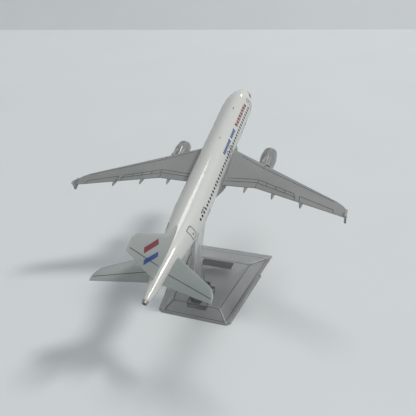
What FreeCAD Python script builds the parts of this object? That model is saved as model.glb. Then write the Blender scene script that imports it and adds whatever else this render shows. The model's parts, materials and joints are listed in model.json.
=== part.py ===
import FreeCAD, Part
import math
import os

os.makedirs("parts", exist_ok=True)

V = FreeCAD.Vector

# Desk model of a narrow-body twin-jet on a clear two-piece stand, all sizes in millimetres.
# The aircraft is drawn level: nose at x = 0, tail towards -x, +y to its left, +z up.
# A station is a distance aft of the nose. The finished aircraft is pitched nose-up onto its stand.

# fuselage
nose_length = 23.4
cabin_length = 78.8
tail_cone_length = 57.8
fuselage_width = 16.95
fuselage_height = 17.45
nose_droop = 1.9
nose_bluntness = 2.2
tail_end_diameter = 2.4
tail_rise_ratio = 0.72
tail_taper_power = 1.45
shell_wall = 1.2
shell_split_drop = 4.5
lip_height = 1.1
lip_wall = 0.6
tail_tip_length = 1.5
tail_spigot_diameter = 1.0
tail_spigot_length = 2.0
tail_recess_share = 0.6
tail_recess_depth = 0.6

# fits
seat_gap = 0.03
fit_gap = 0.08

# belly fairing, the grey saddle that carries the wings and the stand slot
fairing_setback = 23.0
fairing_length = 44.0
fairing_half_width = 9.2
fairing_bulge_half = 11.0
fairing_centre_drop = 3.6
fairing_half_height = 6.9
fairing_top = 0.2
belly_drop = 9.9
keel_length = 17.0
keel_width = 8.4
keel_round = 3.0

# wings
wing_setback = 30.15
wing_root_chord = 28.0
wing_kink_chord = 17.95
wing_tip_chord = 6.9
wing_half_span = 72.1
wing_kink_half_span = 26.7
wing_sweep_slope = 0.5467
wing_root_drop = 2.1
wing_dihedral = 1.8
wing_root_thickness = 0.115
wing_tip_thickness = 0.125
wing_tip_round = 4.8
wing_tip_step = 2.0
trailing_edge = 0.35
wing_tab_length = 14.0
wing_tab_height = 1.4
wing_tab_depth = 3.2
track_reach = (3.8, 3.5, 3.1)
track_length = (13.5, 12.0, 10.5)
track_half_span = (21.4, 36.2, 50.8)
track_diameter = 1.9
track_drop = 0.75
fence_chord = 6.8
fence_rise = 2.6
fence_fall = 2.4
fence_thickness = 1.0
fence_setback = 1.6
fence_sweep = 1.5
fence_overlap = 0.5

# engines
engine_setback = 21.6
engine_half_spacing = 26.0
engine_drop = 9.05
nacelle_length = 14.4
nacelle_diameter = 9.0
inlet_diameter = 5.6
inlet_lip_round = 0.45
fan_depth = 3.2
nozzle_diameter = 6.9
nozzle_wall = 0.4
nozzle_depth = 3.4
core_diameter = 4.3
core_exit_diameter = 3.0
core_reach = 3.6
plug_reach = 1.8
plug_diameter = 1.7
plug_recess = 1.4
hub_bore = 2.1
hub_spigot_length = 2.2
core_rim = 0.3
fan_thickness = 0.9
spinner_length = 1.7
spinner_diameter = 2.2
strut_thickness = 1.3
strut_front_setback = 4.2
strut_wing_reach = 9.5
strut_tab_depth = 0.7
strut_tab_length = 4.0
strut_tab_shoulder = 0.25
strut_wing_tab_setback = 3.2
strut_nacelle_tab_from_rear = 9.0

# tail surfaces
tailplane_from_tail = 27.1
tailplane_root_chord = 16.1
tailplane_tip_chord = 5.9
tailplane_root_half = 3.83
tailplane_half_span = 27.8
tailplane_sweep_slope = 0.6925
tailplane_height = 3.5
tailplane_dihedral = 9.0
tailplane_thickness = 0.1
tailplane_tip_round = 2.4
tailplane_tab_length = 7.0
tailplane_tab_height = 0.9
tailplane_tab_inner = 2.2
fin_from_tail = 35.1
fin_root_chord = 24.5
fin_tip_chord = 8.35
fin_root_height = 8.5
fin_height = 28.2
fin_sweep_slope = 0.826
fin_dorsal_run = 5.2
fin_dorsal_height = 3.4
fin_thickness = 0.1
fin_tip_round = 1.5
fin_tab_length = 10.0
fin_tab_thickness = 0.9
fin_tab_depth = 2.7

# screws under the belly
screw_head_diameter = 3.2
screw_head_depth = 1.1
screw_shank_diameter = 1.6
screw_length = 5.2
screw_spacing = 14.0
screw_setback = 40.0
screw_end_gap = 0.3
boss_diameter = 4.2
boss_height = 4.0

# stand
pitch = 16.38
pad_setback = 65.9
base_length = 65.2
base_front_width = 57.7
base_rear_width = 38.7
base_height = 6.7
front_slope_run = 19.5
rear_slope_run = 5.4
side_slope_run = 6.6
base_wall = 1.6
base_corner = 1.3
rim_flange = 0.8
rim_flange_height = 1.0
rim_flange_length = 43.5
foot_setback = 13.9
foot_length = 17.6
foot_width = 6.6
foot_thickness = 1.5
foot_corner = 1.6
foot_edge_round = 0.6
peg_length = 13.0
peg_thickness = 3.0
peg_depth = 3.9
socket_wall = 1.2
socket_side_wall = 3.9
shoulder_setback = 28.2
shoulder_height = 55.3
shoulder_chord = 12.0
blade_thickness = 3.2
neck_height = 29.5
neck_setback = 10.7
neck_chord = 11.2
blade_round = 0.7
slot_tab_length = 8.0
slot_tab_thickness = 2.0
slot_tab_height = 5.0
slot_tab_chamfer = 0.35
slot_tab_root = 1.0
slot_boss_wall = 1.1
slot_boss_roof = 1.2
label_length = 19.0
label_width = 5.7
label_thickness = 0.5
label_from_front_edge = 6.6

# derived places
total_length = nose_length + cabin_length + tail_cone_length
half_width = fuselage_width / 2
height_ratio = fuselage_height / fuselage_width
tail_start = nose_length + cabin_length
wing_le_side = nose_length + wing_setback
tailplane_le = total_length - tailplane_from_tail
fin_le = total_length - fin_from_tail
engine_lip = nose_length + engine_setback
nacelle_rear = engine_lip + nacelle_length
pad_station = nose_length + pad_setback
wing_te = wing_le_side + wing_root_chord
tan_dihedral = math.tan(math.radians(wing_dihedral))
tan_tail_dihedral = math.tan(math.radians(tailplane_dihedral))

# how finely curved outlines are drawn, and room beyond the model for cutting boxes
NOSE_STEPS = (0.08, 0.3, 0.7, 1.4, 2.4, 3.8, 5.6, 8.0, 11.0, 15.0, 19.0)
TAIL_STEPS = 10
RING_POINTS = 24
STRAIGHT_RUN = 3.0
SMALLEST_RING = 0.45
SECTION_POINTS = 9
BEYOND = 5.0
WIDE = 20.0


def fuselage_radius(station):
    """Return the half-width and centre height of the fuselage at a station."""
    if station < nose_length:
        t = 1 - station / nose_length
        radius = half_width * math.sqrt(max(1 - t ** nose_bluntness, 0))
        return radius, -nose_droop * t * t
    if station <= tail_start:
        return half_width, 0.0
    t = (station - tail_start) / tail_cone_length
    end = tail_end_diameter / fuselage_width
    radius = half_width * (1 - (1 - end) * t ** tail_taper_power)
    return radius, (half_width - radius) * tail_rise_ratio


def ring(station, inset):
    """Return the closed cross-section wire at a station, drawn smaller by an inset."""
    radius, centre = fuselage_radius(station)
    across = radius - inset
    upright = radius * height_ratio - inset
    points = []
    for i in range(RING_POINTS):
        angle = 2 * math.pi * (i + 0.5) / RING_POINTS
        points.append(V(-station, across * math.cos(angle), centre + upright * math.sin(angle)))
    curve = Part.BSplineCurve()
    curve.interpolate(points, PeriodicFlag=True)
    return Part.Wire(curve.toShape())


def fuselage_solid(inset):
    """Return the fuselage volume, drawn smaller by an inset (larger when negative)."""
    least = SMALLEST_RING + max(inset, 0) * 0.4
    nose_stations = [s for s in NOSE_STEPS if fuselage_radius(s)[0] - inset > least]
    front = nose_length + STRAIGHT_RUN
    back = tail_start - STRAIGHT_RUN
    nose_stations.extend([nose_length, nose_length + STRAIGHT_RUN / 2, front])
    nose = [ring(station, inset) for station in nose_stations]
    if inset <= 0:
        nose.insert(0, Part.Vertex(V(-inset, 0, -nose_droop)))
    tail_stations = [back, tail_start - STRAIGHT_RUN / 2]
    for i in range(TAIL_STEPS + 1):
        tail_stations.append(tail_start + tail_cone_length * i / TAIL_STEPS)
    tail = [ring(s, inset) for s in tail_stations if fuselage_radius(s)[0] - inset > least]
    cabin = Part.Face(ring(front, inset)).extrude(V(front - back, 0, 0))
    body = cabin.fuse([Part.makeLoft(nose, True, False), Part.makeLoft(tail, True, False)])
    return body.Solids[0]


def box(x0, x1, y0, y1, z0, z1):
    """Return a box from its two x, two y and two z limits, in either order."""
    low = V(min(x0, x1), min(y0, y1), min(z0, z1))
    return Part.makeBox(abs(x1 - x0), abs(y1 - y0), abs(z1 - z0), low)


def section(chord, thickness, leading, upright=False):
    """Return an aerofoil wire with a blunt trailing edge, lying flat or upright for the fin."""
    upper = []
    lower = []
    for i in range(SECTION_POINTS):
        x = 0.5 * (1 - math.cos(math.pi * i / (SECTION_POINTS - 1)))
        root = 0.2969 * math.sqrt(x) - 0.126 * x - 0.3516 * x * x
        half = 5 * thickness * chord * (root + 0.2843 * x ** 3 - 0.1036 * x ** 4)
        half = half + x * trailing_edge / 2
        upper.append((x * chord, half))
        lower.append((x * chord, -half))
    outline = list(reversed(upper)) + lower[1:]
    points = []
    for along, off in outline:
        if upright:
            points.append(leading + V(-along, off, 0))
        else:
            points.append(leading + V(-along, 0, off))
    curve = Part.BSplineCurve()
    curve.interpolate(points)
    return Part.Wire([curve.toShape(), Part.makeLine(points[-1], points[0])])


def mirrored(shape):
    """Return the shape's twin on the other side of the aircraft."""
    return shape.mirror(V(0, 0, 0), V(0, 1, 0))


def wing_edges(y):
    """Return the leading and trailing edge stations of the wing at a span position."""
    side = half_width
    leading = wing_le_side + wing_sweep_slope * (y - side)
    tip_te = wing_le_side + wing_sweep_slope * (wing_half_span - side) + wing_tip_chord
    kink_te = wing_le_side + wing_sweep_slope * (wing_kink_half_span - side) + wing_kink_chord
    if y <= wing_kink_half_span:
        share = (y - side) / (wing_kink_half_span - side)
        return leading, wing_te + (kink_te - wing_te) * share
    share = (y - wing_kink_half_span) / (wing_half_span - wing_kink_half_span)
    return leading, kink_te + (tip_te - kink_te) * share


def wing_height(y):
    """Return the height of the wing's chord plane at a span position."""
    return -wing_root_drop + (y - half_width) * tan_dihedral


def wing_section(y, cut_back=0.0):
    """Return the wing's section wire at a span position."""
    leading, trailing = wing_edges(y)
    share = (y - half_width) / (wing_half_span - half_width)
    ratio = wing_root_thickness + (wing_tip_thickness - wing_root_thickness) * share
    chord = trailing - leading - cut_back
    return section(chord, ratio, V(-leading - cut_back, y, wing_height(y)))


def track_fairing(index):
    """Return one flap-track fairing: a pointed spindle under the trailing edge."""
    y = track_half_span[index]
    z = wing_height(y) - track_drop
    tail = wing_edges(y)[1] + track_reach[index]
    length = track_length[index]
    radius = track_diameter / 2
    outline = []
    for share, swell in ((0, 0), (0.06, 0.34), (0.25, 0.82), (0.5, 1), (0.75, 0.82), (0.94, 0.34), (1, 0)):
        outline.append(V(-(tail - length * share), y, z + radius * swell))
    curve = Part.BSplineCurve()
    curve.interpolate(outline)
    face = Part.Face(Part.Wire([curve.toShape(), Part.makeLine(outline[-1], outline[0])]))
    return face.revolve(V(0, y, z), V(1, 0, 0), 360)


def fence():
    """Return the small arrowhead fence on the wing tip."""
    leading = wing_edges(wing_half_span)[0]
    level = wing_height(wing_half_span)
    front = leading + fence_setback
    back = front + fence_chord
    y = wing_half_span - fence_overlap
    corners = [
        V(-front, y, level),
        V(-(back - fence_sweep), y, level + fence_rise),
        V(-back, y, level + fence_rise),
        V(-(back - 0.6), y, level),
        V(-(back - 0.2), y, level - fence_fall),
        V(-(back - fence_sweep), y, level - fence_fall),
    ]
    face = Part.Face(Part.makePolygon(corners + corners[:1]))
    return face.extrude(V(0, fence_thickness, 0))


def wing_tab_box(gap):
    """Return the root tab of the left wing, larger all round by a gap."""
    middle = wing_le_side + wing_root_chord * 0.42
    x0 = -(middle - wing_tab_length / 2) + gap
    x1 = -(middle + wing_tab_length / 2) - gap
    z = -wing_root_drop
    half = wing_tab_height / 2 + gap
    inner = fairing_half_width - wing_tab_depth - gap
    return box(x0, x1, inner, fairing_half_width, z - half, z + half)


def strut_tab_box(gap, upper):
    """Return the strut's tab into the wing (upper) or into the nacelle, larger by a gap."""
    half = strut_thickness / 2 - strut_tab_shoulder + gap
    y = engine_half_spacing
    if upper:
        start = wing_edges(y)[0] + strut_wing_tab_setback
        top = wing_height(y) - strut_tab_shoulder + gap
        bottom = top - gap - 2.2
    else:
        start = nacelle_rear - strut_nacelle_tab_from_rear
        bottom = nacelle_diameter / 2 - engine_drop - strut_tab_depth - strut_tab_shoulder - gap
        top = bottom + gap + 1.6
    end = start + strut_tab_length + gap
    return box(-(start - gap), -end, y - half, y + half, bottom, top)


def left_wing():
    """Return the left wing with its root tab, flap-track fairings and tip fence."""
    near = wing_half_span - wing_tip_round
    middle = wing_half_span - wing_tip_round * 0.4
    wires = [
        wing_section(fairing_half_width),
        wing_section(wing_kink_half_span),
        wing_section(near),
        wing_section(middle, wing_tip_step * 0.35),
        wing_section(wing_half_span, wing_tip_step),
    ]
    wing = Part.makeLoft(wires, True, True)
    extras = [track_fairing(i) for i in range(len(track_length))]
    extras.append(fence())
    extras.append(wing_tab_box(0))
    wing = wing.fuse(extras)
    return wing.cut(strut_tab_box(fit_gap, True))


def revolved(points, y, z):
    """Return the solid made by turning a station/radius outline about an engine's axis."""
    corners = [V(-station, y, z + radius) for station, radius in points]
    face = Part.Face(Part.makePolygon(corners + corners[:1]))
    return face.revolve(V(0, y, z), V(1, 0, 0), 360)


def nacelle_outer():
    """Return the closed outer volume of the left nacelle."""
    lip = engine_lip
    y = engine_half_spacing
    z = -engine_drop
    full = nacelle_diameter / 2
    rear = nozzle_diameter / 2 + nozzle_wall
    lip_radius = inlet_diameter / 2 + inlet_lip_round
    points = [
        V(-lip, y, z + lip_radius),
        V(-(lip + 0.4), y, z + lip_radius + 0.45),
        V(-(lip + 1.9), y, z + full - 0.42),
        V(-(lip + 5.0), y, z + full),
        V(-(lip + 8.8), y, z + full - 0.12),
        V(-nacelle_rear, y, z + rear),
    ]
    curve = Part.BSplineCurve()
    curve.interpolate(points)
    front = V(-lip, y, z)
    back = V(-nacelle_rear, y, z)
    outline = [curve.toShape(), Part.makeLine(points[-1], back), Part.makeLine(back, front)]
    outline.append(Part.makeLine(front, points[0]))
    return Part.Face(Part.Wire(outline)).revolve(V(0, y, z), V(1, 0, 0), 360)


def left_nacelle():
    """Return the left nacelle: inlet recess, hub bore, rear annular recess and strut pocket."""
    lip = engine_lip
    rear = nacelle_rear
    inlet = inlet_diameter / 2
    y = engine_half_spacing
    z = -engine_drop
    recess = revolved(
        [(lip - 1, 0), (lip - 1, inlet + 0.8), (lip, inlet + 0.35), (lip + 0.8, inlet),
         (lip + fan_depth, inlet), (lip + fan_depth, 0)], y, z)
    annulus = revolved(
        [(rear - nozzle_depth, 0), (rear - nozzle_depth, nozzle_diameter / 2 + 0.1),
         (rear, nozzle_diameter / 2), (rear + 1, nozzle_diameter / 2), (rear + 1, 0)], y, z)
    bore = Part.makeCylinder(hub_bore / 2, nacelle_length, V(-lip, y, z), V(-1, 0, 0))
    shell = nacelle_outer().cut([recess, annulus, bore])
    return shell.cut(strut_tab_box(fit_gap, False))


def left_fan():
    """Return the left fan disc with spinner and rear spigot."""
    face = engine_lip + fan_depth
    radius = inlet_diameter / 2 - fit_gap
    spinner = spinner_diameter / 2
    spigot = hub_bore / 2 - fit_gap
    points = [(face - fan_thickness - spinner_length, 0)]
    points.append((face - fan_thickness - spinner_length * 0.72, spinner * 0.45))
    points.append((face - fan_thickness, spinner))
    points.append((face - fan_thickness, radius))
    points.append((face, radius))
    points.append((face, spigot))
    points.append((face + hub_spigot_length, spigot))
    points.append((face + hub_spigot_length, 0))
    return revolved(points, engine_half_spacing, -engine_drop)


def left_core():
    """Return the left exhaust core: spigot, core nozzle with its recess, and plug."""
    rear = nacelle_rear
    seat = rear - nozzle_depth
    spigot = hub_bore / 2 - fit_gap
    core = core_diameter / 2
    exit_radius = core_exit_diameter / 2
    plug = plug_diameter / 2
    end = rear + core_reach
    points = [(seat - hub_spigot_length, 0), (seat - hub_spigot_length, spigot), (seat, spigot)]
    points.append((seat, core * 0.9))
    points.append((rear - 1.2, core))
    points.append((rear + 0.4, core * 0.96))
    points.append((end, exit_radius))
    points.append((end, exit_radius - core_rim))
    points.append((end - plug_recess, exit_radius - core_rim * 0.7))
    points.append((end - plug_recess, plug))
    points.append((end + plug_reach * 0.5, plug * 0.62))
    points.append((end + plug_reach, 0.12))
    points.append((end + plug_reach, 0))
    return revolved(points, engine_half_spacing, -engine_drop)


def left_strut(wing):
    """Return the left engine strut, its edges fitted to the nacelle, core and wing."""
    y = engine_half_spacing
    rear = nacelle_rear
    crown = nacelle_diameter / 2 - engine_drop
    front = engine_lip + strut_front_setback
    leading = wing_edges(y)[0]
    level = wing_height(y)
    tail = leading + strut_wing_reach
    corners = [
        V(-front, y, crown - 0.6),
        V(-front, y, crown + 0.1),
        V(-(front + 5.3), y, crown + 1.0),
        V(-(leading - 1.0), y, level + 0.5),
        V(-(leading + 0.9), y, level + 0.1),
        V(-tail, y, level - 0.4),
        V(-tail, y, level - 1.5),
        V(-(rear + 3.0), y, crown - 1.7),
        V(-(rear + 0.1), y, crown - 2.2),
        V(-(rear - 1.5), y, crown - 0.6),
    ]
    face = Part.Face(Part.makePolygon(corners + corners[:1]))
    face.translate(V(0, -strut_thickness / 2, 0))
    strut = face.extrude(V(0, strut_thickness, 0))
    strut = strut.cut([nacelle_outer(), left_core(), wing])
    upper_tab = strut_tab_box(0, True).common(wing_socket_space())
    lower_tab = strut_tab_box(0, False)
    strut = strut.fuse([upper_tab, lower_tab])
    return strut.removeSplitter()


def wing_socket_space():
    """Return the slab of space in which the strut's upper tab is kept."""
    y = engine_half_spacing
    level = wing_height(y)
    return box(-wing_le_side, -wing_te, y - 5, y + 5, level - 1.6, level + 5)


def left_tailplane(skin):
    """Return the left tailplane, its root fitted to the fuselage, with its tab."""
    def at(y, cut_back):
        leading = tailplane_le + tailplane_sweep_slope * (y - tailplane_root_half)
        share = (y - tailplane_root_half) / (tailplane_half_span - tailplane_root_half)
        chord = tailplane_root_chord + (tailplane_tip_chord - tailplane_root_chord) * share
        height = tailplane_height + (y - tailplane_root_half) * tan_tail_dihedral
        return section(chord - cut_back, tailplane_thickness, V(-leading - cut_back, y, height))

    wires = [
        at(1.6, 0),
        at(tailplane_half_span - tailplane_tip_round, 0),
        at(tailplane_half_span - tailplane_tip_round * 0.35, 1.3),
        at(tailplane_half_span, 3.0),
    ]
    plane = Part.makeLoft(wires, True, True).cut(skin)
    return plane.fuse(tailplane_tab_box(0)).removeSplitter()


def tailplane_tab_box(gap):
    """Return the left tailplane's root tab, larger by a gap."""
    start = tailplane_le + 4.6
    half = tailplane_tab_height / 2 + gap
    outer = tailplane_root_half + 1.9
    z = tailplane_height + 0.1
    x0 = -(start - gap)
    x1 = -(start + tailplane_tab_length + gap)
    return box(x0, x1, tailplane_tab_inner - gap, outer, z - half, z + half)


def fin_tab_box(gap):
    """Return the fin's root tab, larger by a gap."""
    start = fin_le + 7.0
    half = fin_tab_thickness / 2 + gap
    bottom = fin_root_height - 0.6 - fin_tab_depth - gap
    return box(-(start - gap), -(start + fin_tab_length + gap), -half, half, bottom, fin_root_height)


def vertical_fin(skin):
    """Return the fin with its dorsal fillet, its root fitted to the fuselage, with its tab."""
    te_slope = (fin_sweep_slope * fin_height + fin_tip_chord - fin_root_chord) / fin_height

    def at(height, forward):
        rise = height - fin_root_height
        leading = fin_le + fin_sweep_slope * rise - forward
        trailing = fin_le + fin_root_chord + te_slope * rise
        ratio = fin_thickness * fin_root_chord / (fin_root_chord + max(forward, 0))
        return section(trailing - leading, ratio, V(-leading, 0, height), True)

    top = fin_root_height + fin_height
    wires = [
        at(fin_root_height - 2.5, fin_dorsal_run + 1.0),
        at(fin_root_height, fin_dorsal_run),
        at(fin_root_height + fin_dorsal_height * 0.4, fin_dorsal_run * 0.42),
        at(fin_root_height + fin_dorsal_height, 0),
        at(top - fin_tip_round, 0),
        at(top - fin_tip_round * 0.4, -0.5),
        at(top, -1.4),
    ]
    fin = Part.makeLoft(wires, True, True).cut(skin)
    return fin.fuse(fin_tab_box(0)).removeSplitter()


def screw(x, top_gap, gap):
    """Return one countersunk screw, head down at the belly, or its hole when gaps are given."""
    head = screw_head_diameter / 2 + gap
    shank = screw_shank_diameter / 2 + gap
    start = V(x, 0, -belly_drop)
    cone = Part.makeCone(head, shank, screw_head_depth, start)
    rod = Part.makeCylinder(shank, screw_length + top_gap, start)
    return cone.fuse(rod).removeSplitter()


def screw_stations():
    """Return the x places of the two screws."""
    first = nose_length + screw_setback
    return [-first, -(first + screw_spacing)]


def fairing(skin):
    """Return the belly fairing with its wing slots, stand slot and screw holes."""
    start = nose_length + fairing_setback
    end = start + fairing_length
    shares = (
        (0.0, 0.66, 0.6), (0.12, 0.82, 0.8), (0.26, 0.95, 0.94), (0.42, 1.0, 1.0), (0.7, 0.98, 1.0),
        (0.8, 0.88, 0.97), (0.87, 0.76, 0.9), (0.94, 0.63, 0.8), (1.0, 0.5, 0.7),
    )
    wires = []
    for share, wide, tall in shares:
        station = start + fairing_length * share
        middle = V(-station, 0, -fairing_centre_drop)
        across = fairing_bulge_half * wide
        upright = fairing_half_height * tall
        ellipse = Part.Ellipse(middle + V(0, across, 0), middle + V(0, 0, upright), middle)
        wires.append(Part.Wire(ellipse.toShape()))
    body = Part.makeLoft(wires, True, False)
    wide = fairing_half_width
    body = body.common(box(-start, -end, -wide, wide, -belly_drop, fairing_top))
    keel_front = -pad_station + keel_length / 2
    keel_side = keel_width / 2
    keel = box(keel_front, keel_front - keel_length, -keel_side, keel_side, -belly_drop, -half_width * 0.8)
    uprights = upright_edges(keel, 1.0)
    body = body.fuse(keel.makeFillet(keel_round, uprights)).cut(skin)
    tabs = wing_tab_box(fit_gap)
    body = body.cut([tabs, mirrored(tabs), stand_slot(fit_gap)])
    for x in screw_stations():
        body = body.cut(screw(x, screw_end_gap, fit_gap / 2))
    solids = sorted(body.Solids, key=lambda solid: -solid.Volume)
    return solids[0]


def stand_slot(gap):
    """Return the volume of the stand's tab above the belly pad, larger by a gap."""
    half = slot_tab_length / 2 + gap
    side = slot_tab_thickness / 2 + gap
    top = slot_tab_height - belly_drop + gap
    return box(-pad_station + half, -pad_station - half, -side, side, -belly_drop - 1, top)


def lower_shell(outer, inner, lip_outer, lip_inner):
    """Return the lower fuselage shell with its lip, screw bosses and stand socket."""
    split = -shell_split_drop
    far = total_length + BEYOND
    below = box(BEYOND, -far, -WIDE, WIDE, -WIDE, split)
    root_band = box(BEYOND, -far, -WIDE, WIDE, split - lip_height, split)
    lip_band = box(BEYOND, -far, -WIDE, WIDE, split, split + lip_height)
    skin = outer.common(below).cut(inner)
    root = outer.common(root_band).cut(lip_inner)
    lip = lip_outer.common(lip_band).cut(lip_inner)
    belly = -half_width * height_ratio
    bosses = []
    for x in screw_stations():
        bosses.append(Part.makeCylinder(boss_diameter / 2, boss_height, V(x, 0, belly)))
    side = slot_tab_thickness / 2 + slot_boss_wall
    along = slot_tab_length / 2 + slot_boss_wall
    top = slot_tab_height - belly_drop + slot_boss_roof
    bosses.append(box(-pad_station + along, -pad_station - along, -side, side, belly, top))
    inside = Part.makeCompound(bosses).common(outer)
    shell = skin.fuse([root, lip] + inside.Solids)
    shell = shell.cut(stand_slot(fit_gap))
    for x in screw_stations():
        shell = shell.cut(screw(x, screw_end_gap, fit_gap / 2))
    return shell.removeSplitter()


def upper_shell(outer, inner):
    """Return the upper fuselage shell with slots for wings, tailplanes and fin."""
    split = -shell_split_drop
    far = total_length - tail_tip_length
    above = box(BEYOND, -far, -WIDE, WIDE, split, WIDE)
    shell = outer.common(above).cut(inner)
    wing_slot = wing_tab_box(fit_gap)
    tail_slot = tailplane_tab_box(fit_gap)
    slots = [wing_slot, mirrored(wing_slot), tail_slot, mirrored(tail_slot), fin_tab_box(fit_gap)]
    centre = fuselage_radius(far)[1]
    bore = (tail_spigot_diameter + fit_gap) / 2
    deep = tail_spigot_length + screw_end_gap
    hole = Part.makeCylinder(bore, deep, V(-far, 0, centre), V(1, 0, 0))
    return shell.cut(slots + [hole])


def tail_tip(outer):
    """Return the small grey tip of the tail cone with its exhaust recess and spigot."""
    far = total_length - tail_tip_length
    centre = fuselage_radius(far)[1]
    end_radius, end_centre = fuselage_radius(total_length)
    tip = outer.common(box(-far, -total_length - BEYOND, -WIDE, WIDE, 0, WIDE))
    bore = end_radius * tail_recess_share
    forward = V(1, 0, 0)
    spigot = Part.makeCylinder(tail_spigot_diameter / 2, tail_spigot_length, V(-far, 0, centre), forward)
    recess = Part.makeCylinder(bore, tail_recess_depth, V(-total_length, 0, end_centre), forward)
    return tip.fuse(spigot).cut(recess).removeSplitter()


def base_outline(z, inset, x_rear, level):
    """Return the base's four-sided outline at a height, drawn inwards by a perpendicular inset."""
    share = level / base_height
    side_inset = inset * math.hypot(1, side_slope_run / base_height)
    front = x_rear + base_length - front_slope_run * share
    front = front - inset * math.hypot(1, front_slope_run / base_height)
    rear = x_rear + rear_slope_run * share + inset * math.hypot(1, rear_slope_run / base_height)
    flare = (base_front_width - base_rear_width) / 2 / base_length
    half = base_rear_width / 2 - side_slope_run * share - side_inset
    half_rear = half + flare * (rear - x_rear)
    half_front = half + flare * (front - x_rear)
    corners = [V(rear, -half_rear, z), V(front, -half_front, z)]
    corners.extend([V(front, half_front, z), V(rear, half_rear, z)])
    return Part.makePolygon(corners + corners[:1])


def upright_edges(shape, least):
    """Return the shape's edges that rise by more than a least height."""
    return [e for e in shape.Edges if abs(e.Vertexes[0].Z - e.Vertexes[-1].Z) > least]


def stand_base(x_rear):
    """Return the clear hollow base with its rim flange and the pylon's socket."""
    foot_line = base_outline(0, 0, x_rear, 0)
    top_line = base_outline(base_height, 0, x_rear, base_height)
    outer = Part.makeLoft([foot_line, top_line], True, True)
    outer = outer.makeFillet(base_corner, upright_edges(outer, base_height / 2))
    flange_line = base_outline(0, -rim_flange, x_rear, 0)
    flange_top_line = base_outline(rim_flange_height, -rim_flange, x_rear, 0)
    flange = Part.makeLoft([flange_line, flange_top_line], True, True)
    flange_start = x_rear + base_corner
    wide = base_front_width
    keep = box(flange_start, x_rear + rim_flange_length, -wide, wide, 0, rim_flange_height)
    outer = outer.fuse(flange.common(keep))
    ceiling = base_height - base_wall
    rim_line = base_outline(0, base_wall, x_rear, 0)
    ceiling_line = base_outline(ceiling, base_wall, x_rear, ceiling)
    below_line = base_outline(-base_wall, base_wall, x_rear, 0)
    hollow = Part.makeLoft([rim_line, ceiling_line], True, True)
    skirt = Part.makeLoft([below_line, rim_line], True, True)
    middle = x_rear + foot_setback
    along = peg_length / 2 + fit_gap
    side = peg_thickness / 2 + fit_gap
    wall = socket_wall
    depth = peg_depth + fit_gap
    flank = side + socket_side_wall
    reach = along + wall
    floor = base_height - depth
    socket = box(middle - reach, middle + reach, -flank, flank, floor - wall, ceiling)
    pocket = box(middle - along, middle + along, -side, side, floor, base_height + 1)
    return outer.cut([hollow, skirt]).fuse(socket).cut(pocket).removeSplitter()


def top_edges(shape, level):
    """Return the shape's edges that lie at a level."""
    return [e for e in shape.Edges if min(v.Z for v in e.Vertexes) > level - 0.01]


def bezier(points):
    """Return the edge of a Bezier curve through its poles."""
    curve = Part.BezierCurve()
    curve.setPoles(points)
    return curve.toShape()


def stand_pylon(x_rear):
    """Return the clear leaning pylon with its foot, socket peg and the tab for the belly slot."""
    middle = x_rear + foot_setback
    floor = base_height + foot_thickness
    lean = math.radians(pitch)
    forward = V(math.cos(lean), 0, math.sin(lean))
    shoulder = V(x_rear + shoulder_setback, 0, shoulder_height)
    top_front = shoulder + forward * (shoulder_chord / 2)
    top_rear = shoulder - forward * (shoulder_chord / 2)
    neck = x_rear + neck_setback
    neck_front = V(neck + neck_chord / 2, 0, neck_height)
    neck_rear = V(neck - neck_chord / 2, 0, neck_height)
    foot_front = V(middle + foot_length / 2 - 1.0, 0, floor - 0.3)
    foot_rear = V(middle - foot_length / 2 + 1.0, 0, floor - 0.3)
    lean_out = V(8.2, 0, 9.4)
    edges = [
        bezier([foot_front, V(foot_front.x - 4.6, 0, floor + 2.2),
                V(neck_front.x + 0.6, 0, neck_height - 9), neck_front]),
        bezier([neck_front, V(neck_front.x - 0.2, 0, neck_height + 3.5), top_front - lean_out, top_front]),
        Part.makeLine(top_front, top_rear),
        bezier([top_rear, top_rear - lean_out, V(neck_rear.x - 0.2, 0, neck_height + 6), neck_rear]),
        bezier([neck_rear, V(neck_rear.x + 0.3, 0, neck_height - 8),
                V(foot_rear.x + 1.6, 0, floor + 4), foot_rear]),
        Part.makeLine(foot_rear, foot_front),
    ]
    face = Part.Face(Part.Wire(edges))
    face.translate(V(0, -blade_thickness / 2, 0))
    blade = face.extrude(V(0, blade_thickness, 0))
    curved = ("Part::GeomBezierCurve", "Part::GeomBSplineCurve")
    long_edges = [edge for edge in blade.Edges if edge.Curve.TypeId in curved]
    blade = blade.makeFillet(blade_round, long_edges)
    half = foot_length / 2
    side = foot_width / 2
    foot = box(middle - half, middle + half, -side, side, base_height, floor)
    foot = foot.makeFillet(foot_corner, upright_edges(foot, foot_thickness / 2))
    foot = foot.makeFillet(foot_edge_round, top_edges(foot, floor))
    half = peg_length / 2
    side = peg_thickness / 2
    peg = box(middle - half, middle + half, -side, side, base_height - peg_depth, base_height + 0.2)
    half = slot_tab_length / 2
    side = slot_tab_thickness / 2
    tab = box(-half, half, -side, side, -slot_tab_root, slot_tab_height)
    tab = tab.makeChamfer(slot_tab_chamfer, top_edges(tab, slot_tab_height))
    tab.rotate(V(0, 0, 0), V(0, 1, 0), -pitch)
    tab.translate(shoulder)
    return blade.fuse([foot, peg, tab]).removeSplitter()


def label(x_rear):
    """Return the blank label under the clear top plate."""
    ceiling = base_height - base_wall
    rear = x_rear + base_length - front_slope_run - label_from_front_edge
    half = label_length / 2
    return box(rear, rear + label_width, -half, half, ceiling - label_thickness, ceiling)


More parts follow.
